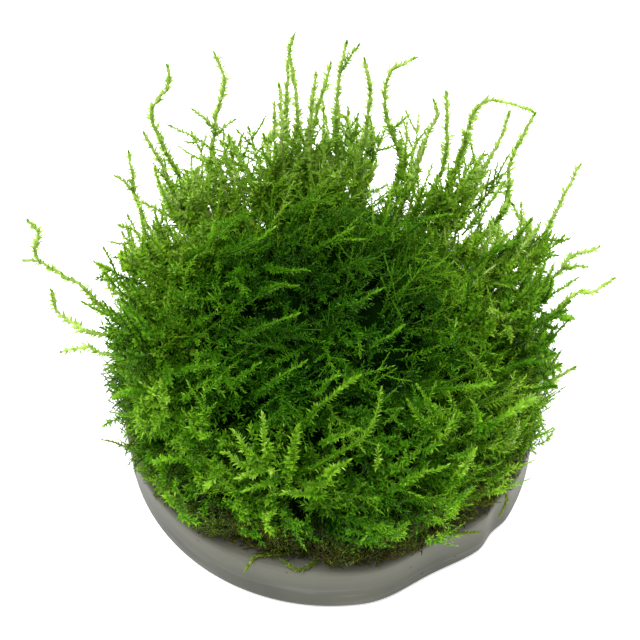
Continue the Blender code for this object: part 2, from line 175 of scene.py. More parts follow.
# Shoots of the cushion that catch the eye, foot first, and the tone and leaf length of each group
SHOWN_SHOOTS = {
    "star_up_left": ((-11, -30, 35.5), (-13, -31, 41), (-15, -29, 43.5)),
    "star_left": ((-10.5, -30.5, 35.5), (-13.5, -32, 39), (-16.5, -31, 40.5)),
    "star_up": ((-9.5, -30, 35.5), (-10, -30.5, 42.5), (-10.5, -27.5, 45.5)),
    "star_low": ((-10, -30.5, 35.5), (-12.5, -33.5, 38.5), (-14.5, -34, 38)),
    "broad_up": ((-7, -32, 34), (-6, -32, 42), (-5, -29.5, 45.5)),
    "long_diagonal": ((-7.5, -32, 34), (3, -30.5, 41.5), (6.5, -28, 45), (7.5, -24, 47.5)),
    "short_over_diagonal": ((-2, -28.5, 39), (1, -30.5, 44), (4, -30, 45.5)),
    "thick_diagonal": ((-5.5, -27, 39.5), (-1.5, -26, 46.5), (4, -22.5, 48.5)),
    "flat_left": ((-1, -33.5, 33), (-4, -36, 37), (-7.5, -36.5, 37.5)),
    "flat_left_low": ((-7.5, -31.5, 34.5), (-10.5, -34.5, 37), (-13.5, -35, 36)),
    "bright_right": ((-2.5, -33, 34), (0.5, -34, 40.5), (2.5, -33.5, 42)),
    "hanging_left": ((-17, -28.5, 34), (-18, -32, 36), (-19.5, -33, 33.5)),
    "level_left": ((-19.5, -28.5, 32), (-23.5, -28.5, 35), (-28, -26.5, 31.5)),
    "rising_right": ((8.5, -33, 32.5), (12.5, -33.5, 37.5), (17.5, -32, 38.5)),
    "edge_right": ((22.5, -24.5, 34.5), (26, -23.5, 39), (32, -18.5, 37)),
    "yellow_right": ((19, -30, 29.5), (20.5, -30.5, 36), (22, -29, 38)),
    "small_base": ((7, -34.5, 29.5), (6, -38, 30.5), (4.5, -39.5, 28)),
    "level_right": ((15, -20, 41.5), (20, -21.5, 44.5), (25, -20, 43.5)),
    "upright_right": ((23, -24.5, 34.5), (22.5, -25, 41), (21.5, -23.5, 43.5)),
    "leaning_left_a": ((15.5, -26, 38), (13.5, -27, 44), (11.5, -25.5, 46.5)),
    "leaning_left_b": ((17.5, -25, 38), (15, -25, 44.5), (13, -23, 47)),
    "middle_a": ((-14, -12, 44), (-10, -13, 49), (-5, -11.5, 50)),
    "middle_b": ((-11.5, -3.5, 45), (-8.5, -5.5, 49.5), (-5.5, -6, 50)),
    "middle_c": ((-11, 1.5, 45.5), (-7, -2.5, 49.5), (-3.5, -3, 50)),
    "middle_d": ((3, -7.5, 45.5), (5.5, -8, 49.5), (8, -6.5, 50)),
    "middle_e": ((-15.5, -19.5, 41.5), (-13.5, -21, 47), (-11, -20, 48.5)),
    "middle_f": ((-11.5, -21.5, 42), (-8, -22, 47.5), (-4, -20, 49)),
    "middle_g": ((-3, -22, 42.5), (-1, -23.5, 47.5), (1, -21.5, 48.5)),
    "middle_h": ((5.5, -15, 44.5), (8, -15.5, 48.5), (11, -13.5, 49.5)),
    "middle_i": ((-3, 5, 45.5), (0.5, 3.5, 49.5), (5, 3.5, 50)),
    "middle_j": ((-24.5, -15.5, 39.5), (-21, -18.5, 45.5), (-17.5, -19, 47)),
    "upper_a": ((-18.5, 4.5, 44.5), (-13.5, 3, 49), (-9, 6, 50)),
    "upper_b": ((-3.5, 4.5, 45.5), (0, 3.5, 49.5), (3.5, 6, 50)),
    "upper_c": ((-23.5, 4.5, 43.5), (-20, 4, 48), (-19, 7.5, 48.5)),
    "upper_d": ((12, 8, 45.5), (15, 8.5, 48.5), (19.5, 10, 48.5)),
    "upper_e": ((22.5, 3, 43.5), (26, 4.5, 46), (31, 10, 42)),
    "left_a": ((-29, -6.5, 39.5), (-31.5, -6, 42), (-34.5, -0.5, 39.5)),
    "left_b": ((-27, -18, 36), (-30.5, -17.5, 38), (-35, -14.5, 32)),
    "right_a": ((30, -6.5, 39), (34.5, -4, 39.5), (40.5, 4, 29)),
    "right_b": ((26.5, -14.5, 39), (31.5, -13.5, 40.5), (37, -9.5, 32.5)),
}
SHOWN_STYLES = {
    "star": (0.76, 1.3), "broad": (0.73, 1.5), "long": (0.70, 1.1), "short": (0.65, 1.0), "thick": (0.66, 1.25),
    "flat": (0.66, 1.25), "bright": (0.72, 1.4), "hanging": (0.68, 1.3), "level": (0.62, 1.1),
    "rising": (0.66, 1.2), "edge": (0.68, 1.4), "yellow": (0.74, 1.2), "small": (0.52, 0.8),
    "upright": (0.64, 1.1), "leaning": (0.60, 1.0), "middle": (0.56, 0.95), "upper": (0.58, 1.0),
    "left": (0.62, 1.1), "right": (0.62, 1.1),
}

# Cushion: a heart that all shoots come from, and how many shoots there are
MOSS_HEART = np.array([0.0, 4.0, 18.0])
LEAN_BIAS = np.array([0.35, 0.2, 0.0])
LEAN_UP = 0.65
# Each layer's tone is lower the deeper it lies, and each shoot is darker toward its root: painted shade of the
# inner moss together with darker old growth; the stems of the deepest layer are darker still
SHOOT_LAYERS = (
    {"count": 1250, "gap_below": -9.0, "stand": (0.1, 0.6), "length": (7.0, 11.0), "offset": (-7.0, 1.2),
     "tone": -0.24, "root_age_and_shade": 0.1, "branched": 0.0, "pulled": 0.3, "open": 0.0, "spared": 0.3,
     "style": {"leaf": 1.4, "spacing": 0.34, "contrast": 0.4, "mottle": 0.02, "stem_pale": -0.2}},
    {"count": 2600, "gap_below": -1.1, "stand": (0.15, 0.8), "length": (7.0, 12.0), "offset": (-3.4, 1.2),
     "tone": -0.12, "root_age_and_shade": 0.16, "branched": 0.35, "pulled": 0.28, "open": 0.3, "spared": 0.88,
     "style": {"leaf": 1.15, "spacing": 0.21, "contrast": 0.4, "mottle": 0.03, "stem_pale": -0.12}},
    {"count": 660, "gap_below": -9.0, "stand": (0.0, 0.5), "length": (8.0, 15.0), "offset": (-0.6, 1.2),
     "tone": 0.0, "root_age_and_shade": 0.14, "branched": 0.4, "pulled": 0.1, "open": 0.65, "spared": 0.95,
     "style": {"leaf": 1.0, "spacing": 0.15, "contrast": 0.45, "mottle": 0.04}},
)
# Dark pockets of the top, wells that slant backward as they go down: x and y of the mouth, radius
POCKET_TOP = 47.5
POCKET_SLANT = 0.78
POCKETS = (
    (-10.1, -8.1, 1.8), (5.2, -9.9, 1.8), (10.0, -17.4, 2.6), (-0.7, -24.7, 1.2), (-10.3, -27.5, 1.7),
    (-16.2, -31.6, 1.8), (-14.2, -11.5, 1.0), (15.3, -10.2, 1.4), (-19.7, -15.4, 1.2),
    (1.3, -16.7, 0.8), (-5.5, -23.6, 1.0), (18.5, -27.5, 1.2), (12.5, -33.5, 1.2),
)
# Brighter and darker patches of the moss: place, radius and change of tone
TONE_PATCHES = (
    ((1.0, -1.0, 48.0), 7.0, 0.12), ((21.0, 1.0, 46.0), 10.0, 0.09), ((-19.0, -2.0, 47.0), 9.0, 0.06),
    ((3.0, -16.0, 47.5), 6.0, 0.08), ((21.0, -22.0, 41.5), 9.0, 0.09), ((-25.0, -19.0, 41.0), 8.0, 0.05),
    ((-21.0, 14.0, 45.0), 8.0, 0.06), ((26.0, -9.0, 43.5), 9.0, 0.07), ((-18.0, -12.0, 46.0), 6.0, 0.05),
    ((-4.0, 16.0, 47.0), 8.0, 0.04), ((33.0, -16.0, 30.0), 9.0, 0.05),
    ((2.0, -39.0, 22.0), 13.0, -0.14), ((-8.0, 4.0, 48.0), 6.0, 0.04), ((8.0, -6.0, 48.0), 6.0, 0.05),
)
FRINGE_COUNT = 800
# Bays in the fringe: azimuth and half width
FRINGE_BAYS = ((33.0, 5.0), (56.0, 4.5), (71.0, 5.0), (121.0, 6.0), (148.0, 4.0))
FRINGE_AZIMUTHS = (-25.0, 205.0)
FRINGE_GAP = -0.3
BAY_DEPTH = 1.2
# Painted backlight: the fringe's tone is high where the moss is loose, as if lit through from behind, and lower by
# the next value where it is dense; each shoot is darker toward its foot, painted shade together with darker old
# growth
FRINGE_BACKLIT_TONE = 0.86
FRINGE_BACKLIGHT_LOSS = 0.3
FRINGE_ROOT_AGE_AND_SHADE = 0.3
FRINGE_STYLE = {
    "leaf": 1.2, "wide": 1.6, "spacing": 0.14, "start": 0.1, "radius": 0.2, "taper": 0.85, "stem_pale": 0.0,
    "bud_dark": 0.16, "mottle": 0.05, "contrast": 0.5,
}
FOOT_HEIGHT = 24.0
BRANCHLET_LENGTH = 4.6
BASE_SHOOT_COUNT = 2700
BASE_HEIGHT = 13.0
# Where the rim of the gel is bare: azimuth, spread and width
BARE_RIMS = ((-24.0, 30.0, 1.6), (-103.0, 26.0, 1.9), (-160.0, 16.0, 1.0))
CORE_RADIUS = 29.5
CORE_HEIGHT = 24.0
CORE_POWER = 3.0
CORE_PULLED = 0.3
CORE_SEGMENTS = 96
CORE_ROWS = 28


class LeafyMesh:
    """Collects the vertices, triangles and palette places of many shoots for one piece."""

    def __init__(self):
        self.points = []
        self.triangles = []
        self.palette = []
        self.count = 0

    def add(self, points, triangles, palette):
        self.points.append(points)
        self.triangles.append(triangles + self.count)
        self.palette.append(palette)
        self.count += len(points)

    def triangle_count(self):
        return sum(len(block) for block in self.triangles)

    def make(self, name, material):
        points = np.concatenate(self.points) * MM
        triangles = np.concatenate(self.triangles).astype(np.int32)
        palette = np.concatenate(self.palette)
        mesh = bpy.data.meshes.new(name)
        mesh.vertices.add(len(points))
        mesh.vertices.foreach_set("co", points.astype(np.float32).ravel())
        mesh.loops.add(triangles.size)
        mesh.loops.foreach_set("vertex_index", triangles.ravel())
        mesh.polygons.add(len(triangles))
        mesh.polygons.foreach_set("loop_start", np.arange(len(triangles), dtype=np.int32) * 3)
        layer = mesh.uv_layers.new(name="OFBake")
        layer.data.foreach_set("uv", palette[triangles.ravel()].astype(np.float32).ravel())
        mesh.update(calc_edges=True)
        mesh.validate()
        mesh.materials.append(material)
        piece = bpy.data.objects.new(name, mesh)
        bpy.context.scene.collection.objects.link(piece)
        return piece


def unit(vectors):
    return vectors / np.maximum(np.linalg.norm(vectors, axis=-1, keepdims=True), 1e-9)


def smooth(low, high, value):
    t = np.clip((value - low) / (high - low), 0.0, 1.0)
    return t * t * (3.0 - 2.0 * t)


def curve_through(points, count):
    """Evenly spaced points on a smooth curve through the given ones."""
    knots = np.asarray(points, float)
    padded = np.vstack([2 * knots[0] - knots[1], knots, 2 * knots[-1] - knots[-2]])
    places = []
    for before, a, b, after in zip(padded, padded[1:], padded[2:], padded[3:]):
        t = np.linspace(0.0, 1.0, 12, endpoint=False)[:, None]
        places.append(0.5 * (
            2 * a + (b - before) * t + (2 * before - 5 * a + 4 * b - after) * t ** 2
            + (3 * a - before - 3 * b + after) * t ** 3
        ))
    fine = np.vstack(places + [knots[-1:]])
    steps = np.concatenate([[0.0], np.cumsum(np.linalg.norm(np.diff(fine, axis=0), axis=1))])
    wanted = np.linspace(0.0, steps[-1], count)
    return np.stack([np.interp(wanted, steps, fine[:, axis]) for axis in range(3)], axis=1)


def path_frames(path):
    """Length along a path, and its direction and two crossing directions at each point."""
    along = np.concatenate([[0.0], np.cumsum(np.linalg.norm(np.diff(path, axis=0), axis=1))])
    forward = unit(np.gradient(path, axis=0))
    mean = unit(path[-1] - path[0])
    helper = np.eye(3)[np.argmin(np.abs(mean))]
    side = unit(np.cross(forward, helper))
    other = np.cross(forward, side)
    return along, forward, side, other


def interpolate(wanted, along, values):
    return np.stack([np.interp(wanted, along, values[:, axis]) for axis in range(3)], axis=1)


def add_stem_tube(mesh, path, frames, radius, tone, hue):
    """A three-sided tapering tube along the path."""
    along, _, side, other = frames
    share = along / along[-1]
    sizes = radius * (1.0 - 0.5 * share)
    angles = 2.0 * math.pi * np.arange(3) / 3.0
    rings = path[:, None, :] + sizes[:, None, None] * (
        side[:, None, :] * np.cos(angles)[None, :, None]
        + other[:, None, :] * np.sin(angles)[None, :, None]
    )
    points = rings.reshape(-1, 3)
    triangles = []
    for ring in range(len(path) - 1):
        for corner in range(3):
            a = ring * 3 + corner
            b = ring * 3 + (corner + 1) % 3
            triangles.append((a, b, b + 3))
            triangles.append((a, b + 3, a + 3))
    # The stem is darker at its root than at its tip: painted shade of the deeper moss together with darker old
    # growth
    tones = np.repeat(tone[0] + (tone[1] - tone[0]) * share, 3)
    nudge = np.tile([0.0, 0.012, 0.024], len(path))
    palette = np.stack([tones + nudge, np.full(len(tones), hue) + nudge], axis=1)
    mesh.add(points, np.array(triangles), np.clip(palette, 0.01, 0.99))


def add_leaves(mesh, path, frames, rng, style, tone, hue):
    """Folded leaves in a spiral around the path, which close to a bud at its tip."""
    along, forward, side, other = frames
    length = along[-1]
    count = max(4, int(length * (1.0 - style["start"]) / style["spacing"]))
    share = style["start"] + (1.0 - style["start"]) * (np.arange(count) + rng.uniform()) / count
    share = share[rng.uniform(0.0, 1.0, count) > style["bare"] * smooth(0.15, 0.5, share)]
    count = len(share)
    where = np.minimum(share, 0.995) * length
    base = interpolate(where, along, path)
    ahead = unit(interpolate(where, along, forward))
    across = unit(interpolate(where, along, side))
    above = np.cross(ahead, across)
    turn = LEAF_TURN * np.arange(count) + rng.uniform(0.0, 6.28) + rng.normal(0.0, 0.35, count)
    outward = across * np.cos(turn)[:, None] + above * np.sin(turn)[:, None]
    open_share = smooth(0.0, BUD_LENGTH, length - where)
    lean = BUD_SPREAD + (style["spread"][0] + (style["spread"][1] - style["spread"][0]) * share
                         - BUD_SPREAD) * open_share
    lean = np.radians(lean + rng.normal(0.0, 12.0, count) * open_share)
    heading = ahead * np.cos(lean)[:, None] + outward * np.sin(lean)[:, None]
    flat = np.cross(ahead, outward)
    face = np.cross(heading, flat)
    size = style["leaf"] * (1.0 - (1.0 - style["taper"]) * share) * rng.uniform(0.65, 1.25, count)
    size *= 0.7 + 0.3 * open_share
    width = size * LEAF_SLIMNESS * style["wide"] * 0.5
    belly = base + heading * (size * 0.38)[:, None] + face * (width * 0.45)[:, None]
    left = belly - flat * width[:, None]
    right = belly + flat * width[:, None]
    curl = rng.uniform(-0.12, 0.2, count) * size
    tip = base + heading * size[:, None] + ahead * curl[:, None]
    points = np.stack([base, left, tip, right], axis=1).reshape(-1, 3)
    first = np.arange(count)[:, None] * 4
    triangles = np.concatenate([first + [0, 2, 1], first + [0, 3, 2]])
    # Leaves are darker toward the root of the shoot than at its tip: painted shade of the deeper moss together
    # with darker old growth; the bud's darker colour is its own
    leaf_tone = tone[0] + (tone[1] - tone[0]) * smooth(0.1, 0.75, share) - style["bud_dark"] * (1.0 - open_share)
    leaf_tone = leaf_tone + rng.normal(0.0, style["mottle"], count)
    # Painted highlight: a few leaf tips are painted much paler, standing in for glints on wet leaves
    painted_glint = PAINTED_GLINT * (rng.uniform(0.0, 1.0, count) < PAINTED_GLINT_SHARE)
    leaf_hue = hue + rng.normal(0.0, 0.03, count)
    contrast = style["contrast"]
    # Each leaf is darker at its base and lighter at its tip: partly the leaf's own colour, partly painted shade at
    # the base and painted shine at the tip
    tones = np.stack([leaf_tone - 0.14 * contrast, leaf_tone, leaf_tone + 0.1 * contrast + painted_glint,
                      leaf_tone + 0.02], axis=1)
    hues = np.stack([leaf_hue, leaf_hue - 0.012, leaf_hue, leaf_hue + 0.012], axis=1)
    palette = np.stack([tones.ravel(), hues.ravel()], axis=1)
    mesh.add(points, triangles, np.clip(palette, 0.01, 0.99))


def add_shoot(mesh, path, rng, tone, hue, **changes):
    """One shoot: a stem along the path with its leaves, in a style with some changes."""
    style = {**SHOOT_STYLE, **changes}
    frames = path_frames(path)
    stem_tone = (tone[0] + style["stem_pale"], tone[1] + style["stem_pale"])
    add_stem_tube(mesh, path, frames, style["radius"], stem_tone, hue)
    add_leaves(mesh, path, frames, rng, style, tone, hue)


def moss_profile(samples=240):
    """Outline of the envelope as radius and height over the gel, with normals and area."""
    turn = np.linspace(0.0, math.pi / 2.0, samples)
    flat = np.cos(turn) ** (2.0 / MOSS_SQUARENESS)
    tall = np.sin(turn) ** (2.0 / MOSS_SQUARENESS)
    height = tall * MOSS_HEIGHT
    foot = MOSS_FOOT_SHARE + (1.0 - MOSS_FOOT_SHARE) * smooth(0.0, MOSS_FOOT_BAND, height)
    radius = flat * MOSS_RADIUS * foot
    height = height - MOSS_DIP * np.exp(-(radius / MOSS_DIP_RADIUS) ** 2)
    return radius, height


def sample_envelope(rng, count):
    """Points spread evenly over the envelope, with their outward normals."""
    radius, height = moss_profile()
    run, rise = np.diff(radius), np.diff(height)
    area = np.hypot(run, rise) * 0.5 * (radius[1:] + radius[:-1])
    chosen = rng.choice(len(area), count, p=area / area.sum())
    part = rng.uniform(0.0, 1.0, count)
    r = radius[chosen] + run[chosen] * part
    z = height[chosen] + rise[chosen] * part
    azimuth = rng.uniform(-math.pi, math.pi, count)
    out = np.stack([np.cos(azimuth), np.sin(azimuth), np.zeros(count)], axis=1)
    slope = unit(np.stack([rise[chosen], -run[chosen]], axis=1))
    normal = out * slope[:, :1] + np.array([0.0, 0.0, 1.0]) * slope[:, 1:]
    points = MOSS_CENTRE + out * r[:, None] + np.array([0.0, 0.0, 1.0]) * z[:, None]
    return points, unit(normal)


def wander(points, scale, rng_seed):
    """A smooth vector field of a few random waves, about 1 long."""
    rng = np.random.default_rng(rng_seed)
    field = np.zeros_like(points)
    for _ in range(7):
        wave = unit(rng.normal(size=3)) * rng.uniform(0.6, 1.5) * 2.0 * math.pi / scale
        field += np.sin(points @ wave + rng.uniform(0.0, 6.28))[:, None] * rng.normal(size=3)
    return field / 2.6


def shoot_path(tip, heading, inward, length, count=7):
    """A curved path that starts deep in the moss and ends at the tip."""
    middle = tip - heading * length * 0.55
    root = middle + inward * length * 0.45
    t = np.linspace(0.0, 1.0, count)[:, None]
    return root * (1 - t) ** 2 + middle * 2 * t * (1 - t) + tip * t ** 2


def add_branchlets(mesh, path, outward, rng, tone, hue, style):
    """Short side shoots, in turn to the left and right of the upper part of a shoot."""
    side = 1.0
    for share in np.arange(rng.uniform(0.4, 0.55), 0.88, rng.uniform(0.1, 0.17)):
        place = share * (len(path) - 1)
        row = int(place)
        base = path[row] + (path[row + 1] - path[row]) * (place - row)
        along = unit(path[row + 1] - path[row])
        across = unit(np.cross(along, outward)) * side
        heading = unit(along * 0.75 + across * rng.uniform(0.6, 1.0) + rng.normal(0.0, 0.2, 3))
        length = BRANCHLET_LENGTH * rng.uniform(0.6, 1.2) * (1.15 - 0.5 * share)
        t = np.linspace(0.0, 1.0, 4)[:, None]
        twig = base + heading * length * t + along * length * 0.25 * t ** 2
        near = tone[0] + (tone[1] - tone[0]) * share
        small = dict(style, leaf=style["leaf"] * 0.82, start=0.1)
        add_shoot(mesh, twig, rng, (near - 0.06, tone[1]), hue, **small)
        side = -side


def zone_tone_and_backlight(point):
    """How bright the tips are in a place: darker at the middle of the top, lighter around it, where the rise is
    painted backlight.
    """
    across = np.hypot((point[0] - 1.0) * 0.9, point[1] + 8.0)
    patches = sum(
        change * (1.0 - smooth(0.3, 1.0, np.linalg.norm(point - place) / radius))
        for place, radius, change in TONE_PATCHES
    )
    # Painted backlight: lighter away from the middle of the top, toward the back and to the sides; the listed
    # patches add lighter and darker places
    return (
        0.44 + patches + 0.18 * smooth(5.0, 30.0, across)
        + 0.13 * looseness(point)
        + 0.06 * smooth(18.0, 36.0, abs(point[0]))
        + 0.03 * smooth(10.0, 26.0, point[0])
    )


def in_pocket(points):
    """Whether any of the points lies in a dark pocket between the shoots of the top."""
    level = points[:, 1] + POCKET_SLANT * (points[:, 2] - POCKET_TOP)
    return any((np.hypot(points[:, 0] - x, level - y) < radius).any() for x, y, radius in POCKETS)


def looseness(point):
    """How loose the moss is in a place: 0 at the front and the middle, 1 around the back."""
    backward = smooth(-3.0, 22.0, point[1] + 0.2 * abs(point[0]))
    return backward * smooth(12.0, 32.0, np.hypot(point[0], point[1]))


def leaf_growth(point):
    """How large leaves are in a place: fine at the middle of the top, larger around it."""
    return 0.92 + 0.28 * smooth(12.0, 34.0, np.hypot(point[0], point[1]))


def side_name(point):
    """The part of the clump that a shoot with its tip in a place belongs to."""
    x, y, _ = point
    if np.hypot(x, y) < 21.0:
        return "top"
    azimuth = math.degrees(math.atan2(y, x))
    if -135.0 <= azimuth < -45.0:
        return "front"
    if -45.0 <= azimuth < 45.0:
        return "right"
    if 45.0 <= azimuth < 135.0:
        return "back"
    return "left"


def grow_layer(pieces, rng, layer):
    """One layer of shoots: the proud bright ones, or the ones below them, painted darker as painted shade and
    older growth.
    """
    tips, normals = sample_envelope(rng, layer["count"])
    flow = wander(tips, 30.0, SEED + 1)
    bunch = wander(tips, 9.0, SEED + 2)
    gaps = wander(tips, 13.0, SEED + 3)[:, 0]
    for tip, normal, drift, bunching, gap in zip(tips, normals, flow, bunch, gaps):
        loose = looseness(tip)
        if gap < layer["gap_below"] or tip[2] < FOOT_HEIGHT or rng.uniform() < layer["open"] * loose:
            continue
        sideways = LEAN_BIAS + drift * 0.3 + bunching * 0.35 + rng.normal(0.0, 0.6, 3)
        sideways = sideways - normal * sideways.dot(normal)
        rise = np.array([0.0, 0.0, LEAN_UP * (1.0 - normal[2])])
        heading = unit(normal * rng.uniform(*layer["stand"]) + sideways + rise)
        length = rng.uniform(*layer["length"])
        end = tip + normal * (rng.normal(*layer["offset"]) + bunching[0] * 0.8)
        end = end + (MOSS_HEART - end) * layer["pulled"] * loose
        path = shoot_path(end, heading, unit(MOSS_HEART - end), length)
        if rng.uniform() < layer["spared"] and in_pocket(path[-4:]):
            continue
        # The layer's lower tone is painted shade of the inner moss together with darker old growth
        bright = zone_tone_and_backlight(end) + layer["tone"] + rng.normal(0.0, 0.06)
        hue = 0.05 + 0.05 * drift[1] + 0.03 * loose + 0.07 * smooth(8.0, 30.0, end[0]) + rng.uniform(0.0, 0.08)
        style = dict(layer["style"], leaf=layer["style"]["leaf"] * leaf_growth(end) * rng.uniform(0.85, 1.1))
        mesh = pieces.setdefault(side_name(end), LeafyMesh())
        add_shoot(mesh, path, rng, (bright - layer["root_age_and_shade"], bright), hue, **style)
        if rng.uniform() < layer["branched"]:
            add_branchlets(mesh, path, normal, rng, (bright - layer["root_age_and_shade"] * 0.7, bright), hue, style)


def grow_cushion(material):
    """The shoots of the dense moss, joined in one piece for the top and for each side."""
    rng = np.random.default_rng(SEED)
    pieces = {}
    for layer in SHOOT_LAYERS:
        grow_layer(pieces, rng, layer)
    return [mesh.make("shoots_" + name, material) for name, mesh in pieces.items()]


def grow_fringe(material):
    """Loose shoots in tufts that stand out of the back and the sides of the cushion, painted pale as painted
    backlight.
    """
    rng = np.random.default_rng(SEED + 40)
    azimuths = np.radians(rng.uniform(*FRINGE_AZIMUTHS, FRINGE_COUNT))
    outs = np.stack([np.cos(azimuths), np.sin(azimuths), np.zeros(FRINGE_COUNT)], axis=1)
    reaches = rng.uniform(22.0, 35.5, (FRINGE_COUNT, 1))
    rises = rng.uniform(18.0, 29.0, (FRINGE_COUNT, 1))
    feet = MOSS_CENTRE + outs * reaches + rises * [0.0, 0.0, 1.0]
    gaps = wander(feet, 11.0, SEED + 41)[:, 0]
    for azimuth, half_width in FRINGE_BAYS:
        gaps[np.abs(np.degrees(azimuths) - azimuth) < half_width] -= BAY_DEPTH
    pieces = {}
    for out, foot in zip(outs[gaps > FRINGE_GAP], feet[gaps > FRINGE_GAP]):
        heading = unit(out * rng.uniform(0.0, 0.5) + np.array([0.0, 0.0, 0.9]) + rng.normal(0.0, 0.25, 3))
        length = rng.uniform(7.0, 13.0)
        end = foot + heading * length * 0.75
        path = shoot_path(end, heading, unit(MOSS_HEART - end), length * 1.3)
        # Painted backlight: lighter where the moss is loose, darker where it is dense
        tone = FRINGE_BACKLIT_TONE - FRINGE_BACKLIGHT_LOSS * (1.0 - looseness(end)) + rng.normal(0.0, 0.05)
        hue = 0.14 + rng.uniform(0.0, 0.08)
        mesh = pieces.setdefault(side_name(end), LeafyMesh())
        add_shoot(mesh, path, rng, (tone - FRINGE_ROOT_AGE_AND_SHADE, tone), hue, **FRINGE_STYLE)
        if rng.uniform() < 0.6:
            add_branchlets(mesh, path, out, rng, (tone - FRINGE_ROOT_AGE_AND_SHADE, tone - 0.04), hue, FRINGE_STYLE)
    return [mesh.make("fringe_" + name, material) for name, mesh in pieces.items()]


def grow_base(material):
    """Short, fine olive and brown shoots between the gel and the overhang of the cushion."""
    rng = np.random.default_rng(SEED + 5)
    halves = {"base_front": LeafyMesh(), "base_back": LeafyMesh()}
    azimuths = rng.uniform(-math.pi, math.pi, BASE_SHOOT_COUNT)
    heights = rng.uniform(0.0, 1.0, BASE_SHOOT_COUNT) ** 1.2 * BASE_HEIGHT
    outs = np.stack([np.cos(azimuths), np.sin(azimuths), np.zeros(BASE_SHOOT_COUNT)], axis=1)
    patches = wander(outs * GEL_RADIUS + heights[:, None] * [0.0, 0.0, 1.0], 12.0, SEED + 6)
    for azimuth, height, out, patch in zip(azimuths, heights, outs, patches):
        bare = sum(width * bump(math.degrees(azimuth), at, spread) for at, spread, width in BARE_RIMS)
        lean = 0.28 - 0.3 * looseness(out * GEL_RADIUS)
        radius = gel_rim_radius(math.degrees(azimuth)) - 0.2 - bare + lean * height
        radius += 0.8 * patch[0] + rng.normal(0.0, 0.5)
        tip = out * radius + np.array([0.0, 0.0, GEL_TOP + 0.5 + height])
        tangent = np.array([-out[1], out[0], 0.0]) * rng.normal(0.0, 1.0)
        heading = unit(out * 0.6 + tangent + np.array([0.0, 0.0, rng.normal(0.1, 0.5)]))
        root_way = unit(-out + np.array([0.0, 0.0, 0.2]))
        path = shoot_path(tip, heading, root_way, rng.uniform(4.0, 8.0), count=5)
        path[:, 2] = np.maximum(path[:, 2], GEL_TOP + 0.25)
        left = smooth(12.0, 34.0, -tip[0])
        behind = looseness(out * GEL_RADIUS)
        brown = 0.86 - 0.4 * height / BASE_HEIGHT - 0.35 * left + 0.14 * patch[1] + rng.normal(0.0, 0.1)
        brown -= 0.35 * behind
        sideways = abs(out[0])
        bright = 0.3 + 0.2 * sideways + 0.06 * left + 0.05 * height / BASE_HEIGHT + 0.06 * patch[2] + rng.normal(0.0, 0.07)
        bright += 0.1 * behind
        mesh = halves["base_front" if out[1] < 0.0 else "base_back"]
        add_shoot(mesh, path, rng, (bright - 0.22, bright), brown, leaf=rng.uniform(0.7, 1.0), spacing=0.25)
    return [mesh.make(name, material) for name, mesh in halves.items()]


def grow_shown_shoots(material):
    """The shoots that catch the eye, brighter and leafier than those around them."""
    rng = np.random.default_rng(SEED + 8)
    mesh = LeafyMesh()
    for name, route in SHOWN_SHOOTS.items():
        tone, leaf = SHOWN_STYLES[name.split("_")[0]]
        path = curve_through(route, 10)
        path[1:-1] += rng.normal(0.0, 0.12, (len(path) - 2, 3))
        add_shoot(mesh, path, rng, (tone - 0.2, tone - 0.02), 0.12, leaf=leaf * 0.92, spacing=0.085, start=0.05,
                  wide=1.5, radius=0.25, taper=0.9, stem_pale=0.0, contrast=0.5)
    return mesh.make("shown_shoots", material)


def grow_long_stems(material):
    """The long stems, each a leafy shoot along the route of its solid."""
    rng = np.random.default_rng(SEED + 10)
    made = {}
    for name, route in STEM_ROUTES.items():
        knots = np.array(route, float)
        root = knots[0] + (MOSS_HEART - knots[0]) * 0.35
        knots = np.vstack([root, knots])
        length = np.linalg.norm(np.diff(knots, axis=0), axis=1).sum()
        path = curve_through(knots, max(10, int(length / 1.2)))
        mesh = LeafyMesh()
        path[2:-1] += rng.normal(0.0, 0.1, (len(path) - 3, 3))
        add_shoot(mesh, path, rng, (0.56, 0.88), 0.2, **LONG_STEM_STYLE)
        for height, tip in STEM_TWIGS.get(name, ()):
            base = path[np.argmin(np.abs(path[:, 2] - height))]
            side = np.array(tip, float)
            twig = curve_through([base, base + (side - base) * 0.5 + [0.0, 0.0, 0.4], side], 6)
            add_shoot(mesh, twig, rng, (0.66, 0.78), 0.18, **TWIG_STYLE)
        made[name] = mesh.make("leafy_" + name, material)
    return made


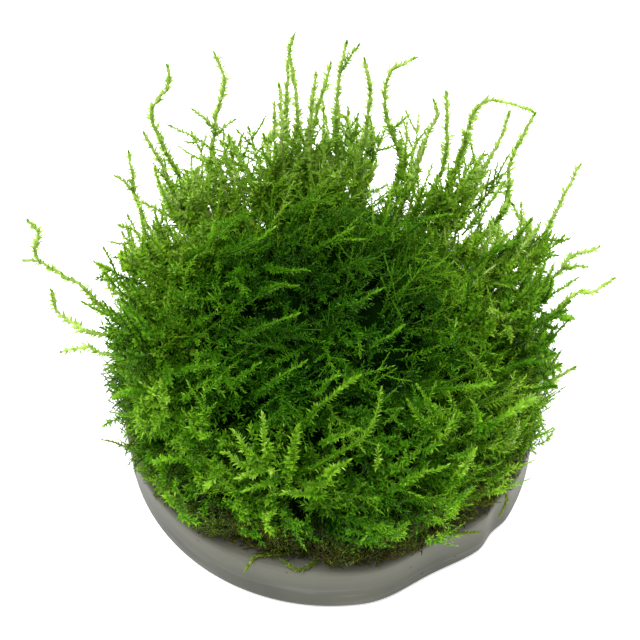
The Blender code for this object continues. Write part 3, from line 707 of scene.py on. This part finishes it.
def make_core(material):
    """The tangle of old shoots deep in the moss, as one lumpy body; its near-black is partly their own dark and
    partly painted shade.
    """
    turns = np.linspace(-math.pi, math.pi, CORE_SEGMENTS, endpoint=False)
    rises = np.linspace(0.0, math.pi / 2.0, CORE_ROWS)
    turn, rise = np.meshgrid(turns, rises)
    radius = np.cos(rise) ** (2.0 / CORE_POWER) * CORE_RADIUS
    height = np.sin(rise) ** (2.0 / CORE_POWER) * CORE_HEIGHT
    places = np.stack([radius * np.cos(turn), radius * np.sin(turn), height], axis=-1).reshape(-1, 3)
    lumps = 1.0 + 0.06 * wander(places, 8.0, SEED + 20)[:, :1]
    places = MOSS_CENTRE + [0.0, 0.0, 0.4] + places * np.where(places[:, 2:] > 0.1, lumps, 1.0)
    for place in places:
        place += (MOSS_HEART - place) * CORE_PULLED * looseness(place) * smooth(14.0, 22.0, place[2])
    faces = []
    for row in range(CORE_ROWS - 1):
        for column in range(CORE_SEGMENTS):
            here = row * CORE_SEGMENTS + column
            beside = row * CORE_SEGMENTS + (column + 1) % CORE_SEGMENTS
            faces.append((here, beside, beside + CORE_SEGMENTS, here + CORE_SEGMENTS))
    faces.append(tuple(reversed(range(CORE_SEGMENTS))))
    mesh = bpy.data.meshes.new("moss_core")
    mesh.from_pydata((places * MM).tolist(), [], faces)
    mesh.shade_smooth()
    mesh.materials.append(material)
    piece = bpy.data.objects.new("moss_core", mesh)
    bpy.context.scene.collection.objects.link(piece)
    return piece


def grow_creepers(material):
    """Olive shoots that creep from the moss over the rim of the gel."""
    rng = np.random.default_rng(SEED + 30)
    mesh = LeafyMesh()
    for route in CREEPER_ROUTES.values():
        knots = []
        for azimuth, past_rim, over_top in route:
            turn = math.radians(azimuth)
            radius = gel_rim_radius(azimuth) + past_rim
            knots.append((radius * math.cos(turn), radius * math.sin(turn), GEL_TOP + over_top))
        path = curve_through(knots, 12)
        add_shoot(mesh, path, rng, (0.5, 0.6), 0.55, leaf=0.95, wide=1.5, spacing=0.1, start=0.05,
                  spread=(50.0, 35.0), radius=0.22)
    return mesh.make("creeping_stems", material)


def bump(angle, centre, half_width):
    """1 at the centre angle, falling smoothly to 0 at the half width and beyond (degrees)."""
    offset = (angle - centre + 180.0) % 360.0 - 180.0
    if abs(offset) >= half_width:
        return 0.0
    return 0.5 + 0.5 * math.cos(math.pi * offset / half_width)


def gel_rim_radius(azimuth):
    return GEL_RADIUS - sum(depth * bump(azimuth, at, width) for at, depth, width in GEL_DENTS)


def gel_profile(azimuth):
    """Radius and height of the gel's surface at one azimuth, from the foot to the dish."""
    rim = gel_rim_radius(azimuth)
    lip = GEL_LIP_HEIGHT * bump(azimuth, GEL_LIP_AZIMUTH, GEL_LIP_SPREAD)
    points = []
    for step in range(9):
        turn = math.pi / 2.0 * step / 8.0
        points.append((rim - GEL_FOOT_ROUND * (1 - math.sin(turn)), GEL_FOOT_ROUND * (1 - math.cos(turn))))
    wall_top = GEL_TOP - GEL_EDGE_ROUND + lip
    for step in range(1, 7):
        part = step / 6.0
        points.append((rim + GEL_DRAFT * part, GEL_FOOT_ROUND + (wall_top - GEL_FOOT_ROUND) * part))
    for step in range(1, 5):
        turn = math.pi / 2.0 * step / 4.0
        points.append((
            rim + GEL_DRAFT - GEL_EDGE_ROUND * (1 - math.cos(turn)),
            wall_top + GEL_EDGE_ROUND * math.sin(turn),
        ))
    points.append((rim - 0.55 * GEL_LIP_WIDTH, GEL_TOP + 0.25 * lip))
    points.append((rim - GEL_LIP_WIDTH, GEL_TOP - 0.15))
    points.append((rim * 0.8, GEL_TOP - 0.75 * GEL_DISH_DEPTH))
    points.append((rim * 0.55, GEL_TOP - GEL_DISH_DEPTH))
    return points


def make_gel(material):
    verts = []
    faces = []
    rows = len(gel_profile(0.0))
    for column in range(GEL_SEGMENTS):
        azimuth = 360.0 * column / GEL_SEGMENTS
        turn = math.radians(azimuth)
        for radius, height in gel_profile(azimuth):
            verts.append((radius * math.cos(turn) * MM, radius * math.sin(turn) * MM, height * MM))
    bottom = len(verts)
    verts.append((0.0, 0.0, 0.0))
    top = len(verts)
    verts.append((0.0, 0.0, (GEL_TOP - GEL_DISH_DEPTH) * MM))
    for column in range(GEL_SEGMENTS):
        here = column * rows
        beside = (column + 1) % GEL_SEGMENTS * rows
        for row in range(rows - 1):
            faces.append((here + row, beside + row, beside + row + 1, here + row + 1))
        faces.append((bottom, beside, here))
        faces.append((top, here + rows - 1, beside + rows - 1))
    mesh = bpy.data.meshes.new("gel_disc")
    mesh.from_pydata(verts, [], faces)
    mesh.shade_smooth()
    mesh.materials.append(material)
    piece = bpy.data.objects.new("gel_disc", mesh)
    bpy.context.scene.collection.objects.link(piece)
    return piece


def moss_material():
    material = bpy.data.materials.new("moss_leaf")
    material.use_nodes = True
    tree = material.node_tree
    nodes, links = tree.nodes, tree.links
    nodes.clear()
    uv = nodes.new("ShaderNodeUVMap")
    uv.uv_map = "OFBake"
    split = nodes.new("ShaderNodeSeparateXYZ")
    links.new(uv.outputs["UV"], split.inputs["Vector"])
    green = ramp(nodes, ((0.0, (0.0012, 0.006, 0.0008)), (0.25, (0.011, 0.070, 0.0025)),
                         (0.5, (0.070, 0.26, 0.006)), (0.75, (0.24, 0.50, 0.022)),
                         (1.0, (0.60, 0.78, 0.26))))
    brown = ramp(nodes, ((0.0, (0.006, 0.005, 0.001)), (0.3, (0.06, 0.05, 0.006)),
                         (0.6, (0.19, 0.16, 0.015)), (1.0, (0.45, 0.42, 0.09))))
    # The first palette coordinate is the tone, which holds the painted shade, backlight and glints of the shoots
    # together with their own colour; the second turns green toward brown
    links.new(split.outputs["X"], green.inputs["Fac"])
    links.new(split.outputs["X"], brown.inputs["Fac"])
    mix = nodes.new("ShaderNodeMix")
    mix.data_type = "RGBA"
    links.new(split.outputs["Y"], mix.inputs["Factor"])
    links.new(green.outputs["Color"], mix.inputs["A"])
    links.new(brown.outputs["Color"], mix.inputs["B"])
    colour = mix.outputs["Result"]
    surface = nodes.new("ShaderNodeBsdfPrincipled")
    surface.inputs["Roughness"].default_value = 0.3
    surface.inputs["Specular IOR Level"].default_value = 0.12
    links.new(colour, surface.inputs["Base Color"])
    through = nodes.new("ShaderNodeBsdfTranslucent")
    links.new(colour, through.inputs["Color"])
    blend = nodes.new("ShaderNodeMixShader")
    blend.inputs["Fac"].default_value = 0.5
    links.new(surface.outputs["BSDF"], blend.inputs[1])
    links.new(through.outputs["BSDF"], blend.inputs[2])
    output = nodes.new("ShaderNodeOutputMaterial")
    links.new(blend.outputs["Shader"], output.inputs["Surface"])
    return material


def ramp(nodes, stops):
    node = nodes.new("ShaderNodeValToRGB")
    elements = node.color_ramp.elements
    while len(elements) < len(stops):
        elements.new(0.5)
    for element, (place, colour) in zip(elements, stops):
        element.position = place
        element.color = (*colour, 1.0)
    return node


def gel_material():
    """Cloudy gel, a little browner and lighter in drifts, with fine streaks and specks; its grey is partly painted
    shade, and its upper part is painted lighter.
    """
    material = bpy.data.materials.new("nutrient_gel")
    material.use_nodes = True
    nodes, links = material.node_tree.nodes, material.node_tree.links
    surface = nodes["Principled BSDF"]
    surface.inputs["Roughness"].default_value = 0.4
    surface.inputs["IOR"].default_value = 1.34
    surface.inputs["Specular IOR Level"].default_value = 0.05
    surface.inputs["Transmission Weight"].default_value = 0.06
    place = nodes.new("ShaderNodeTexCoord")
    drift = nodes.new("ShaderNodeTexNoise")
    drift.inputs["Scale"].default_value = 60.0
    drift.inputs["Detail"].default_value = 3.0
    links.new(place.outputs["Object"], drift.inputs["Vector"])
    # Grey: partly the gel's cloudiness, partly painted shade for the darker surroundings seen through the clear
    # gel
    cloud_and_painted_shade = ramp(nodes, ((0.3, (0.058, 0.060, 0.049)), (0.5, (0.072, 0.074, 0.058)), (0.7, (0.092, 0.090, 0.069))))
    links.new(drift.outputs["Fac"], cloud_and_painted_shade.inputs["Fac"])
    flatten = nodes.new("ShaderNodeMapping")
    flatten.inputs["Scale"].default_value = (1.0, 1.0, 9.0)
    links.new(place.outputs["Object"], flatten.inputs["Vector"])
    streaks = nodes.new("ShaderNodeTexNoise")
    streaks.inputs["Scale"].default_value = 70.0
    streaks.inputs["Detail"].default_value = 6.0
    links.new(flatten.outputs["Vector"], streaks.inputs["Vector"])
    streak_mask = ramp(nodes, ((0.56, (0.0, 0.0, 0.0)), (0.68, (0.28, 0.28, 0.28))))
    links.new(streaks.outputs["Fac"], streak_mask.inputs["Fac"])
    streaked = nodes.new("ShaderNodeMix")
    streaked.data_type = "RGBA"
    streaked.inputs["B"].default_value = (0.16, 0.165, 0.16, 1.0)
    links.new(streak_mask.outputs["Color"], streaked.inputs["Factor"])
    links.new(cloud_and_painted_shade.outputs["Color"], streaked.inputs["A"])
    grains = nodes.new("ShaderNodeTexVoronoi")
    grains.inputs["Scale"].default_value = 260.0
    links.new(place.outputs["Object"], grains.inputs["Vector"])
    speck_mask = ramp(nodes, ((0.05, (0.7, 0.7, 0.7)), (0.09, (0.0, 0.0, 0.0))))
    links.new(grains.outputs["Distance"], speck_mask.inputs["Fac"])
    # Painted light: the gel is painted lighter from 5 mm up to its top, lifting the shade under the overhanging
    # moss, so it is darker toward its foot
    heights = nodes.new("ShaderNodeSeparateXYZ")
    links.new(place.outputs["Object"], heights.inputs["Vector"])
    painted_light_height = nodes.new("ShaderNodeMapRange")
    painted_light_height.inputs["From Min"].default_value = 5.0 * MM
    painted_light_height.inputs["From Max"].default_value = GEL_TOP * MM
    links.new(heights.outputs["Z"], painted_light_height.inputs["Value"])
    top_painted_light = nodes.new("ShaderNodeMix")
    top_painted_light.data_type = "RGBA"
    top_painted_light.inputs["B"].default_value = (0.122, 0.122, 0.098, 1.0)
    links.new(painted_light_height.outputs["Result"], top_painted_light.inputs["Factor"])
    links.new(streaked.outputs["Result"], top_painted_light.inputs["A"])
    specked = nodes.new("ShaderNodeMix")
    specked.data_type = "RGBA"
    specked.inputs["B"].default_value = (0.02, 0.02, 0.012, 1.0)
    links.new(speck_mask.outputs["Color"], specked.inputs["Factor"])
    links.new(top_painted_light.outputs["Result"], specked.inputs["A"])
    links.new(specked.outputs["Result"], surface.inputs["Base Color"])
    return material


def shaded_old_core_material():
    material = bpy.data.materials.new("old_moss")
    material.use_nodes = True
    surface = material.node_tree.nodes["Principled BSDF"]
    # Painted shade: near-black green for the shade deep inside the clump, together with the dark of the old shoots
    surface.inputs["Base Color"].default_value = (0.0016, 0.007, 0.0008, 1.0)
    surface.inputs["Roughness"].default_value = 1.0
    surface.inputs["Specular IOR Level"].default_value = 0.0
    return material


def floor_material():
    material = bpy.data.materials.new("pale_floor")
    material.use_nodes = True
    surface = material.node_tree.nodes["Principled BSDF"]
    surface.inputs["Base Color"].default_value = (0.9, 0.9, 0.9, 1.0)
    surface.inputs["Roughness"].default_value = 0.8
    surface.inputs["Emission Color"].default_value = (1.0, 1.0, 1.0, 1.0)
    surface.inputs["Emission Strength"].default_value = FLOOR_GLOW
    return material


def make_floor():
    mesh = bpy.data.meshes.new("floor")
    side = 3.0
    mesh.from_pydata([(-side, -side, 0), (side, -side, 0), (side, side, 0), (-side, side, 0)], [], [(0, 1, 2, 3)])
    mesh.materials.append(floor_material())
    floor = bpy.data.objects.new("floor", mesh)
    bpy.context.scene.collection.objects.link(floor)


def make_camera():
    elevation = math.radians(CAMERA_ELEVATION)
    back = Vector((0.0, -math.cos(elevation), math.sin(elevation)))
    camera = bpy.data.cameras.new("camera")
    camera.sensor_width = SENSOR_WIDTH
    camera.lens = CAMERA_FOCAL_PX * SENSOR_WIDTH / PHOTO_SIDE_PX
    camera.clip_start = 0.01
    obj = bpy.data.objects.new("camera", camera)
    obj.location = (Vector(CAMERA_TARGET) + back * CAMERA_DISTANCE) * MM
    obj.rotation_euler = back.to_track_quat("Z", "Y").to_euler()
    bpy.context.scene.collection.objects.link(obj)
    bpy.context.scene.camera = obj


def make_light():
    world = bpy.data.worlds.new("studio")
    world.use_nodes = True
    world.node_tree.nodes["Background"].inputs["Color"].default_value = (1.0, 1.0, 1.0, 1.0)
    world.node_tree.nodes["Background"].inputs["Strength"].default_value = WORLD_STRENGTH
    bpy.context.scene.world = world
    bpy.context.scene.view_settings.view_transform = "Standard"
    for name, place, size, power in (
        ("key", (-0.1, -0.2, 0.8), 0.4, 12.0),
        ("back", (0.3, 0.6, 0.5), 0.5, 7.0),
    ):
        light = bpy.data.lights.new(name, "AREA")
        light.energy = power
        light.size = size
        obj = bpy.data.objects.new(name, light)
        obj.location = place
        obj.rotation_euler = Vector(place).to_track_quat("Z", "Y").to_euler()
        bpy.context.scene.collection.objects.link(obj)


def main():
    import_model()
    make_camera()
    make_light()
    make_floor()
    leaf = moss_material()
    cushion = grow_cushion(leaf) + grow_fringe(leaf) + grow_base(leaf) + [grow_shown_shoots(leaf)]
    for piece in cushion:
        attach(piece, "root")
    core = make_core(shaded_old_core_material())
    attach(core, "root")
    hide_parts("moss_cushion")
    creepers = grow_creepers(leaf)
    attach(creepers, "root")
    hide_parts(*CREEPER_ROUTES)
    for name, piece in grow_long_stems(leaf).items():
        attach(piece, "root")
        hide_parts(name)
    gel = make_gel(gel_material())
    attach(gel, "root")
    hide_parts("gel_pad")


main()
